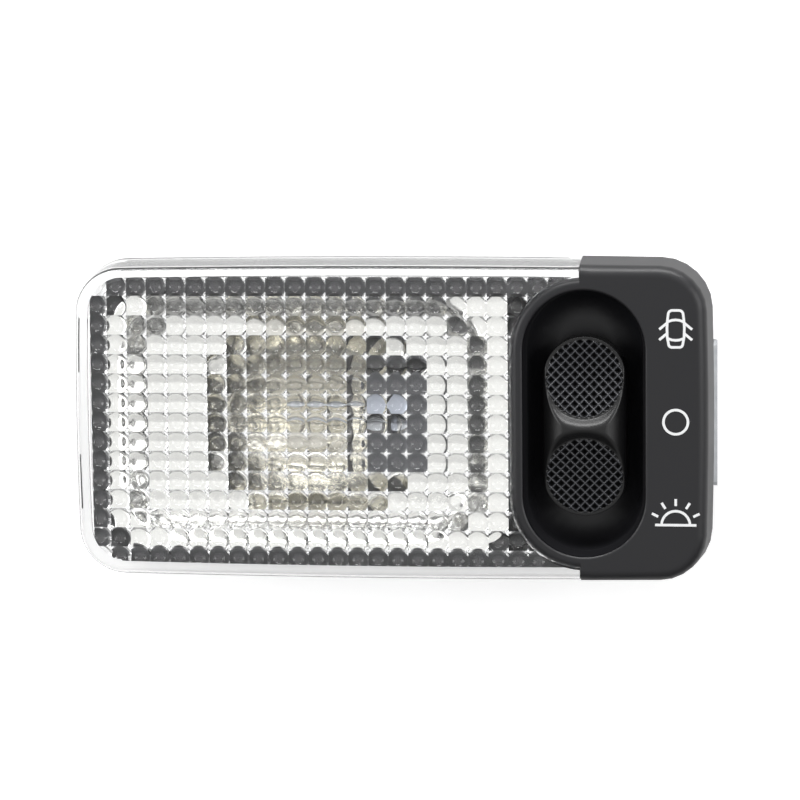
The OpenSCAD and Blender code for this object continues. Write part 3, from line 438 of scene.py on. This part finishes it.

# The same ABS as the housing, but with painted shade and sheen: a near-black base as painted shade in the pits of the
# grip, and a painted sheen of lighter grey on the ridge tops, which fingers have also polished
rocker_abs, tree, output = start_material("black_abs_wear_and_painted_sheen")
place = add(tree, "ShaderNodeTexCoord")
grain = add(tree, "ShaderNodeTexNoise", {"Vector": place.outputs["Object"], "Scale": 6000.0, "Detail": 2.0})
bump = add(tree, "ShaderNodeBump", {"Height": grain.outputs["Fac"], "Strength": 0.2, "Distance": 0.00002})
wear_and_sheen = add(tree, "ShaderNodeAttribute", attribute_name="ridge_wear_and_sheen")
# Painted shade and sheen: the base, #0b0b0c, is darker than the housing's so that the pits of the grip look shaded, and
# the ridge tops get a lighter grey, #404145, as a painted sheen; the finger polish is only in the roughness below.
tone = add(tree, "ShaderNodeMix", {0: wear_and_sheen.outputs["Fac"], 6: srgb("#0b0b0c"), 7: srgb("#404145")}, data_type="RGBA")
rub = add(tree, "ShaderNodeMapRange", {"Value": wear_and_sheen.outputs["Fac"], "To Min": 0.33, "To Max": 0.26})
rocker_surface = add(tree, "ShaderNodeBsdfPrincipled", {
    "Base Color": tone.outputs[2], "Roughness": rub.outputs["Result"], "IOR": 1.5, "Normal": bump.outputs["Normal"]})
tree.links.new(rocker_surface.outputs["BSDF"], output.inputs["Surface"])
rocker_piece.data.materials.clear()
rocker_piece.data.materials.append(rocker_abs)
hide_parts("rocker")
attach(rocker_piece, "rocker")

# The reflector is pressed from bright anodised aluminium sheet: a dish with leaning walls inside a narrow lip, a bowl
# round the bulb and a window for the holder. The press left small radii and a faint orange peel, and the bowl is a
# dull straw colour, a little darker than the rest.
LIP_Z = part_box("reflector")[1][2] / MM
LIP_X, LIP_Y = (-46.5, 19.6), 20.9
LIP_CORNER = 5.0
RIM_X, RIM_Y = (-45.6, 15.7), 20.5
DISH_D = 3.0
LEAN_LEFT, LEAN_SIDE = 2.8, 4.5
DISH_CORNER = 11.0
BOWL_X, BOWL_REACH, BOWL_D, BOWL_SIDE = -13.4, 18.0, 10.4, 14.4
SIDE_RISE, REACH_RISE = 8, 3
WINDOW_X, WINDOW_Y = (-5.7, 5.9), 8.8
SHEET_T = 0.5
SHEET_GRID = 0.4
PRESS_R = 0.6
STRAW_R = (16.0, 19.0)
bowl_curve = (BOWL_REACH ** 2 + BOWL_D ** 2) / (2 * BOWL_D)


def reflector_height(x, y):
    """Height of the sheet's upper face: the lip, then a wall whose fall is the distance inside a rounded rectangle over
    the lean of that side, down to the flat dish, then a part of a sphere for the bowl. The bowl rises steeply past its
    two straight sides and past its reach."""
    middle, half = sum(RIM_X) / 2, (RIM_X[1] - RIM_X[0]) / 2
    qx = np.abs(x - middle) - (half - DISH_CORNER)
    qy = np.abs(y) - (RIM_Y - DISH_CORNER)
    px, py = np.clip(qx, 0, None), np.clip(qy, 0, None)
    beyond = np.hypot(px, py)
    inside = DISH_CORNER - beyond - np.minimum(np.maximum(qx, qy), 0)
    share = np.where(beyond > 0, px ** 2 / np.maximum(beyond, 1e-9) ** 2, (qx > qy) * 1.0)
    lean = share * LEAN_LEFT + (1 - share) * LEAN_SIDE
    fall = np.clip(inside / lean, 0, 1) * DISH_D
    r = np.hypot(x - BOWL_X, y)
    bowl = LIP_Z - DISH_D - BOWL_D + bowl_curve - np.sqrt(np.clip(bowl_curve ** 2 - r ** 2, 0.01, None))
    bowl = bowl + np.clip(np.abs(y) - BOWL_SIDE, 0, None) * SIDE_RISE + np.clip(r - BOWL_REACH, 0, None) * REACH_RISE
    return softest(LIP_Z - fall, bowl, PRESS_R)


def stations(marks, pitch):
    """Grid lines through every mark, at about the pitch between them."""
    parts = [np.linspace(a, b, max(2, math.ceil((b - a) / pitch)) + 1)[:-1] for a, b in zip(marks, marks[1:])]
    return np.concatenate(parts + [marks[-1:]])


def round_corners(x, y):
    """Moves each square corner of the grid into a quarter disc, where px and py are the distances into the corner's
    square: both are scaled by the larger of them over their hypotenuse."""
    middle, half = sum(LIP_X) / 2, (LIP_X[1] - LIP_X[0]) / 2
    px = np.clip(np.abs(x - middle) - (half - LIP_CORNER), 0, None)
    py = np.clip(np.abs(y) - (LIP_Y - LIP_CORNER), 0, None)
    pull = 1 - np.maximum(px, py) / np.maximum(np.hypot(px, py), 1e-9)
    return x - np.sign(x - middle) * px * pull, y - np.sign(y) * py * pull


sheet_x = stations([LIP_X[0], RIM_X[0], RIM_X[0] + LEAN_LEFT, *WINDOW_X, RIM_X[1] - LEAN_LEFT, RIM_X[1], LIP_X[1]],
                   SHEET_GRID)
sheet_y = stations([-LIP_Y, -RIM_Y, LEAN_SIDE - RIM_Y, -BOWL_SIDE, -WINDOW_Y, WINDOW_Y, BOWL_SIDE, RIM_Y - LEAN_SIDE,
                    RIM_Y, LIP_Y], SHEET_GRID)
x, y = round_corners(*np.meshgrid(sheet_x, sheet_y))
index = np.arange(x.size).reshape(x.shape)
cells = np.stack([index[:-1, :-1], index[:-1, 1:], index[1:, 1:], index[1:, :-1]], 2).reshape(-1, 4)
mid_x, mid_y = x.ravel()[cells].mean(1), y.ravel()[cells].mean(1)
in_window = (mid_x > WINDOW_X[0]) & (mid_x < WINDOW_X[1]) & (np.abs(mid_y) < WINDOW_Y)
sheet_points = np.stack([x, y, reflector_height(x, y)], 2).reshape(-1, 3)
reflector = make_object("reflector_pressing", sheet_points, cells[~in_window])
sheet = reflector.modifiers.new("sheet", "SOLIDIFY")
sheet.thickness = SHEET_T * MM
sheet.offset = -1.0

# Bright anodised aluminium: a mirror with a faint haze, straw coloured within STRAW_R of the bowl's middle
bright_sheet, tree, output = start_material("bright_anodised_aluminium")
place = add(tree, "ShaderNodeTexCoord")
from_bulb = add(tree, "ShaderNodeVectorMath", {0: place.outputs["Object"], 1: (BOWL_X * MM, 0, LIP_Z * MM)},
                operation="DISTANCE")
straw_share = add(tree, "ShaderNodeMapRange", {
    "Value": from_bulb.outputs["Value"], "From Min": STRAW_R[0] * MM, "From Max": STRAW_R[1] * MM,
    "To Min": 1.0, "To Max": 0.0})
tint = add(tree, "ShaderNodeMix", {0: straw_share.outputs["Result"], 6: srgb("#e6e6e3"), 7: srgb("#cbc9c1")},
           data_type="RGBA")
peel = add(tree, "ShaderNodeTexNoise", {"Vector": place.outputs["Object"], "Scale": 500.0, "Detail": 2.0})
rough = add(tree, "ShaderNodeMapRange", {"Value": peel.outputs["Fac"], "To Min": 0.09, "To Max": 0.16})
bump = add(tree, "ShaderNodeBump", {"Height": peel.outputs["Fac"], "Strength": 0.2, "Distance": 0.0001})
sheet_surface = add(tree, "ShaderNodeBsdfPrincipled", {
    "Base Color": tint.outputs[2], "Metallic": 1.0, "Roughness": rough.outputs["Result"],
    "Normal": bump.outputs["Normal"]})
tree.links.new(sheet_surface.outputs["BSDF"], output.inputs["Surface"])
reflector.data.materials.append(bright_sheet)
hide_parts("reflector")
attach(reflector, "lamp")

# The bulb is a capless wedge-base lamp: a tube of soda glass closed to a dome, pinched flat at the base, with a coiled
# tungsten filament. The glass has a faint warm cast and is slightly uneven where it was blown.
bulb_glass, tree, output = start_material("blown_soda_glass")
place = add(tree, "ShaderNodeTexCoord")
wave = add(tree, "ShaderNodeTexNoise", {"Vector": place.outputs["Object"], "Scale": 300.0})
bump = add(tree, "ShaderNodeBump", {"Height": wave.outputs["Fac"], "Strength": 0.15, "Distance": 0.0002})
glass_surface = add(tree, "ShaderNodeBsdfPrincipled", {
    "Base Color": srgb("#fcfbf7"), "Roughness": 0.02, "IOR": 1.5, "Transmission Weight": 1.0,
    "Normal": bump.outputs["Normal"]})
tree.links.new(glass_surface.outputs["BSDF"], output.inputs["Surface"])
bulb = dress("bulb_glass", bulb_glass)
bulb.visible_shadow = False

# Drawn tungsten: dark grey, with die marks too fine to see except as a slight change of tone
tungsten, tree, output = start_material("drawn_tungsten")
place = add(tree, "ShaderNodeTexCoord")
die = add(tree, "ShaderNodeTexNoise", {"Vector": place.outputs["Object"], "Scale": 20000.0})
tone = add(tree, "ShaderNodeMix", {0: die.outputs["Fac"], 6: srgb("#5c5753"), 7: srgb("#7a746f")}, data_type="RGBA")
wire_surface = add(tree, "ShaderNodeBsdfPrincipled", {"Base Color": tone.outputs[2], "Metallic": 1.0, "Roughness": 0.4})
tree.links.new(wire_surface.outputs["BSDF"], output.inputs["Surface"])
dress("bulb_filament", tungsten)

# The lens is one clear acrylic moulding: a plate with a skirt all round, square pillow prisms on its inside, and a
# bite for the bezel of the switch. It is made here as one closed surface, finer than the frame's and inside its box,
# without the four latches.
LENS_HALF_L, LENS_HALF_W = 52.8, 26.6
LENS_CORNER = 8.0
SIDE_BOW = 0.5
DRAFT = 0.7
TRIM_Z = 15.5
LENS_EDGE_R, EDGE_STEPS = 1.2, 6
PLATE_Z = 22.5
SKIRT = 1.8
PITCH, ROW_PITCH = 3.31, 3.22
ROWS, COLUMNS = 15, (-3, 23)
COLUMN_X, ROW_Y = -43.45, -0.27
FIELD_X, FIELD_LAP = -49.55, 0.3
TIP_Z = 21.05
DOME_R = 2.8
SMALLEST_ROOT = 0.04
GROOVE_RISE = 0.1
BLOCK_RISE, FIELD_RISE, FIELD_DROP = 0.9, 0.8, 1
WELL_X, BEZEL_R, WELL_HALF = 31.9, 12.07, 11.95
SPLIT_X = 31.18
PAST_LENS, FAR_X, FAR_Y = 5, 80, 40


def face_outline(inset, corner_steps=12, side_steps=16):
    """Rounded rectangle set in by inset, whose sides bow outwards by a parabola of SIDE_BOW at the middle."""
    a, b = LENS_HALF_L - SIDE_BOW - inset, LENS_HALF_W - SIDE_BOW - inset
    r = LENS_CORNER - inset
    quarter = arc((a - r, b - r), r, 0, 90, corner_steps)
    top = np.stack([np.linspace(a - r, r - a, side_steps + 2)[1:-1], np.full(side_steps, b)], 1)
    left = np.stack([np.full(side_steps, -a), np.linspace(b - r, r - b, side_steps + 2)[1:-1]], 1)
    half = np.concatenate([quarter, top, quarter[::-1] * [-1, 1], left])
    ring = np.concatenate([half, -half])
    bow = SIDE_BOW * (1 - (ring / [a, b]) ** 2)
    return ring + bow[:, ::-1] * ring / [a, b]


def edge_profile(inset, low, high):
    """Insets and heights up a leaning wall and round its edge: a quarter circle after a straight draft."""
    turn = np.radians(np.linspace(0, 90, EDGE_STEPS + 1))
    return [(inset, low)] + [(inset + DRAFT + LENS_EDGE_R * (1 - math.cos(t)),
                              high - LENS_EDGE_R + LENS_EDGE_R * math.sin(t)) for t in turn]


def lofted_shell(outer, inner):
    """Closed shell: rings of outlines up the outside, a flat top, and down the inside to the ring that was first."""
    outlines = [(face_outline(inset), z) for inset, z in outer + inner[::-1]]
    rings = [np.column_stack([outline, np.full(len(outline), z)]) for outline, z in outlines]
    n, m = len(rings[0]), len(outer)
    index = np.arange(len(rings) * n).reshape(-1, n)
    following = np.roll(index, -1, 1)
    bands = [k for k in range(len(rings) - 1) if k != m - 1]
    faces = np.concatenate([np.stack([index[k], following[k], following[k + 1], index[k + 1]], 1) for k in bands])
    foot = np.stack([index[-1], following[-1], following[0], index[0]], 1)
    return np.concatenate(rings), faces.tolist() + foot.tolist() + [index[m - 1].tolist(), index[m][::-1].tolist()]


def pillow_height(x, y):
    """Underside of the pillows: in each cell a sphere of radius DOME_R, lowest at the cell's middle. Near the cell's
    corners, where the sphere would rise into the plate, it stops at GROOVE_RISE above the plate's own underside."""
    u = (x - COLUMN_X) / PITCH
    v = (y - ROW_Y) / ROW_PITCH + ROWS / 2
    u = (u - np.floor(u) - 0.5) * PITCH
    v = (v - np.floor(v) - 0.5) * ROW_PITCH
    dome = TIP_Z + DOME_R - np.sqrt(np.clip(DOME_R ** 2 - u ** 2 - v ** 2, SMALLEST_ROOT, None))
    return np.minimum(dome, PLATE_Z + GROOVE_RISE)


def pillow_block(steps=12):
    """Closed slab whose underside is the pillow surface, on a grid that has lines along every groove."""
    first, last = COLUMNS
    nx, ny = (last - first) * steps, ROWS * steps
    x, y = np.meshgrid(COLUMN_X + np.linspace(first, last, nx + 1) * PITCH,
                       ROW_Y + np.linspace(-ROWS / 2, ROWS / 2, ny + 1) * ROW_PITCH)
    inner = 1e-6
    z = pillow_height(np.clip(x, x.min() + inner, x.max() - inner), np.clip(y, y.min() + inner, y.max() - inner))
    levels = (z, np.full_like(x, PLATE_Z + BLOCK_RISE))
    points = np.concatenate([np.stack([x, y, level], 2).reshape(-1, 3) for level in levels])
    index = np.arange(x.size).reshape(x.shape)
    under = np.stack([index[:-1, :-1], index[1:, :-1], index[1:, 1:], index[:-1, 1:]], 2).reshape(-1, 4)
    m = index.size
    rim = np.concatenate([index[0, :-1], index[:-1, -1], index[-1, :0:-1], index[:0:-1, 0]])
    after = np.roll(rim, -1)
    walls = np.stack([rim, after, after + m, rim + m], 1)
    return points, under.tolist() + walls.tolist() + [(rim + m).tolist()]


def prism_solid(outline, low, high):
    """Straight solid between two heights over a closed outline."""
    n = len(outline)
    ring = np.arange(n)
    points = np.concatenate([np.column_stack([outline, np.full(n, z)]) for z in (low, high)])
    walls = np.stack([ring, np.roll(ring, -1), np.roll(ring, -1) + n, ring + n], 1)
    return points, walls.tolist() + [ring[::-1].tolist(), (ring + n).tolist()]


def solid_operation(piece, other, operation):
    """Joins, cuts or intersects a closed solid with another, which is then removed."""
    step = piece.modifiers.new(operation, "BOOLEAN")
    step.operation = operation
    step.object = other
    step.solver = "MANIFOLD"
    bpy.context.view_layer.update()
    result = bpy.data.meshes.new_from_object(piece.evaluated_get(bpy.context.evaluated_depsgraph_get()))
    piece.modifiers.clear()
    piece.data = result
    bpy.data.objects.remove(other)


outer = edge_profile(0, TRIM_Z, FACE_Z)
inner = edge_profile(SKIRT, TRIM_Z, PLATE_Z)
lens = make_object("lens_moulding", *lofted_shell(outer, inner))
block = make_object("pillow_block", *pillow_block())
field_outline = face_outline(SKIRT + DRAFT - FIELD_LAP)
field_outline[:, 0] = np.maximum(field_outline[:, 0], FIELD_X)
field = make_object("pillow_field", *prism_solid(field_outline, TIP_Z - FIELD_DROP, PLATE_Z + FIELD_RISE))
solid_operation(block, field, "INTERSECT")
solid_operation(lens, block, "UNION")
bezel = np.concatenate([arc((WELL_X, WELL_HALF), BEZEL_R, 0, 180, 49),
                        arc((WELL_X, -WELL_HALF), BEZEL_R, 180, 360, 49)])
panel = np.array([(SPLIT_X, -FAR_Y), (FAR_X, -FAR_Y), (FAR_X, FAR_Y), (SPLIT_X, FAR_Y)])
for name, outline in (("bezel_bite", bezel), ("panel_side", panel)):
    bite = make_object(name, *prism_solid(outline, TRIM_Z - PAST_LENS, FACE_Z + PAST_LENS))
    solid_operation(lens, bite, "DIFFERENCE")
soften(lens, angle=35)

# Clear acrylic: polished, and a little grey where the light passes along the skirt
acrylic, tree, output = start_material("clear_moulded_acrylic")
place = add(tree, "ShaderNodeTexCoord")
ripple = add(tree, "ShaderNodeTexNoise", {"Vector": place.outputs["Object"], "Scale": 250.0, "Detail": 1.0})
bump = add(tree, "ShaderNodeBump", {"Height": ripple.outputs["Fac"], "Strength": 0.05, "Distance": 0.0001})
acrylic_surface = add(tree, "ShaderNodeBsdfPrincipled", {
    "Base Color": srgb("#fefefe"), "Roughness": 0.0, "IOR": 1.49, "Transmission Weight": 1.0,
    "Normal": bump.outputs["Normal"]})
depth = add(tree, "ShaderNodeVolumeAbsorption", {"Color": srgb("#bcbfbf"), "Density": 22.0})
tree.links.new(acrylic_surface.outputs["BSDF"], output.inputs["Surface"])
tree.links.new(depth.outputs["Volume"], output.inputs["Volume"])
lens.data.materials.clear()
lens.data.materials.append(acrylic)
lens.visible_shadow = False
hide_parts("lens")
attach(lens, "lamp")

# The spring clip is a leaf of galvanised steel 0.6 mm thick, bent once, with its corners cut off. Zinc gives it a pale
# grey with a faint crystal pattern.
zinc, tree, output = start_material("galvanised_spring_steel")
place = add(tree, "ShaderNodeTexCoord")
crystal = add(tree, "ShaderNodeTexVoronoi", {"Vector": place.outputs["Object"], "Scale": 700.0})
tone = add(tree, "ShaderNodeMix", {0: crystal.outputs["Distance"], 6: srgb("#a2a5a8"), 7: srgb("#b2b4b7")},
           data_type="RGBA")
zinc_surface = add(tree, "ShaderNodeBsdfPrincipled", {
    "Base Color": tone.outputs[2], "Metallic": 1.0, "Roughness": 0.42})
tree.links.new(zinc_surface.outputs["BSDF"], output.inputs["Surface"])
dress("retaining_clip", zinc)

# The studio has a floor of matt white paper that keeps a soft shadow, a white surround, and soft boxes above, to the
# left and to the right of the lamp. The paper glows a little to the camera, in gloss and through the lens, so that the
# picture's ground is white.
FLOOR_HALF = 3000
corners = [(-1, -1), (1, -1), (1, 1), (-1, 1)]
floor = make_object("floor", [(a * FLOOR_HALF, b * FLOOR_HALF, 0) for a, b in corners], [(0, 1, 2, 3)])
paper, tree, output = start_material("white_studio_paper")
path = add(tree, "ShaderNodeLightPath")
fibre = add(tree, "ShaderNodeTexNoise", {"Scale": 900.0})
tone = add(tree, "ShaderNodeMix", {0: fibre.outputs["Fac"], 6: srgb("#f0f0f0"), 7: srgb("#f6f6f6")}, data_type="RGBA")
matt = add(tree, "ShaderNodeBsdfDiffuse", {"Color": tone.outputs[2]})
shine = add(tree, "ShaderNodeMix", {0: path.outputs["Is Glossy Ray"], 2: 0.0, 3: 0.1}, data_type="FLOAT")
through = add(tree, "ShaderNodeMix", {0: path.outputs["Is Transmission Ray"], 2: shine.outputs[0], 3: 0.4},
              data_type="FLOAT")
lift = add(tree, "ShaderNodeMix", {0: path.outputs["Is Camera Ray"], 2: through.outputs[0], 3: 0.45}, data_type="FLOAT")
glow = add(tree, "ShaderNodeEmission", {"Color": srgb("#ffffff"), "Strength": lift.outputs[0]})
paper_surface = add(tree, "ShaderNodeAddShader", {0: matt.outputs[0], 1: glow.outputs[0]})
tree.links.new(paper_surface.outputs[0], output.inputs["Surface"])
floor.data.materials.append(paper)

# The surround is white to the camera. In gloss it is brighter overhead and at the top of the picture, and through the
# lens it is brighter overhead and darker at the bottom of the picture.
world = bpy.data.worlds.new("white_surround")
bpy.context.scene.world = world
world.use_nodes = True
tree = world.node_tree
tree.nodes.clear()
output = add(tree, "ShaderNodeOutputWorld")
path = add(tree, "ShaderNodeLightPath")
place = add(tree, "ShaderNodeTexCoord")
towards = add(tree, "ShaderNodeSeparateXYZ", {"Vector": place.outputs["Generated"]})
above = add(tree, "ShaderNodeMapRange", {
    "Value": towards.outputs["Z"], "From Min": 0.1, "To Min": 0.05, "To Max": 0.75})
behind = add(tree, "ShaderNodeMapRange", {
    "Value": towards.outputs["Y"], "From Min": 0.1, "From Max": 0.8, "To Max": 0.5})
gloss = add(tree, "ShaderNodeMath", {0: above.outputs["Result"], 1: behind.outputs["Result"]}, operation="ADD")
shine = add(tree, "ShaderNodeMix", {0: path.outputs["Is Glossy Ray"], 2: 0.42, 3: gloss.outputs[0]}, data_type="FLOAT")
zenith = add(tree, "ShaderNodeMapRange", {
    "Value": towards.outputs["Z"], "From Min": 0.2, "From Max": 0.85, "To Min": 0.65, "To Max": 1.3})
front = add(tree, "ShaderNodeMapRange", {
    "Value": towards.outputs["Y"], "From Min": -0.8, "From Max": -0.1, "To Min": 0.5, "To Max": 1.0})
seen = add(tree, "ShaderNodeMath", {0: zenith.outputs["Result"], 1: front.outputs["Result"]}, operation="MULTIPLY")
through = add(tree, "ShaderNodeMix", {0: path.outputs["Is Transmission Ray"], 2: shine.outputs[0], 3: seen.outputs[0]},
              data_type="FLOAT")
level = add(tree, "ShaderNodeMix", {0: path.outputs["Is Camera Ray"], 2: through.outputs[0], 3: 1.0}, data_type="FLOAT")
surround = add(tree, "ShaderNodeBackground", {"Color": srgb("#ffffff"), "Strength": level.outputs[0]})
tree.links.new(surround.outputs[0], output.inputs["Surface"])

# The soft boxes stand 0.75 m and 1.1 m from the lamp and are plain white.
BEAM_Z = 20


def soft_box(name, place, size, power):
    """Rectangular lamp at a place in millimetres, turned towards the middle of the lens at the height BEAM_Z."""
    lamp = bpy.data.lights.new(name, "AREA")
    lamp.shape = "RECTANGLE"
    lamp.size, lamp.size_y = (s * MM for s in size)
    lamp.energy = power
    holder = bpy.data.objects.new(name, lamp)
    bpy.context.scene.collection.objects.link(holder)
    position = Vector(place) * MM
    beam = Vector((0, 0, BEAM_Z * MM)) - position
    holder.matrix_world = Matrix.Translation(position) @ beam.to_track_quat("-Z", "Y").to_matrix().to_4x4()


soft_box("soft_box_top", (0, 700, 270), (900, 220), 6.5)
soft_box("soft_box_left", (-900, 150, 600), (500, 800), 4.0)
soft_box("soft_box_right", (900, 150, 600), (500, 800), 4.0)

# The camera stands 560 mm from the face, tilted a little towards the door sign and the switch, as in the photograph.
AIM = (1.7, 15.3, 21.5)
DISTANCE = 560.0
FOCAL_LENGTH = 154.1
SHIFT = (0.0004, -0.0894)
TILT_UP, TILT_RIGHT, ROLL = (math.radians(a) for a in (6.85, 6.65, -0.58))
camera = bpy.data.objects.new("camera", bpy.data.cameras.new("camera"))
bpy.context.scene.collection.objects.link(camera)
turn = Matrix.Rotation(TILT_RIGHT, 4, "Y") @ Matrix.Rotation(-TILT_UP, 4, "X") @ Matrix.Rotation(ROLL, 4, "Z")
camera.matrix_world = Matrix.Translation(Vector(AIM) * MM) @ turn @ Matrix.Translation((0, 0, DISTANCE * MM))
camera.data.sensor_width = 36.0
camera.data.lens = FOCAL_LENGTH
camera.data.shift_x, camera.data.shift_y = SHIFT
camera.data.clip_start, camera.data.clip_end = 0.01, 20.0
bpy.context.scene.camera = camera

bpy.context.scene.view_settings.view_transform = "Standard"
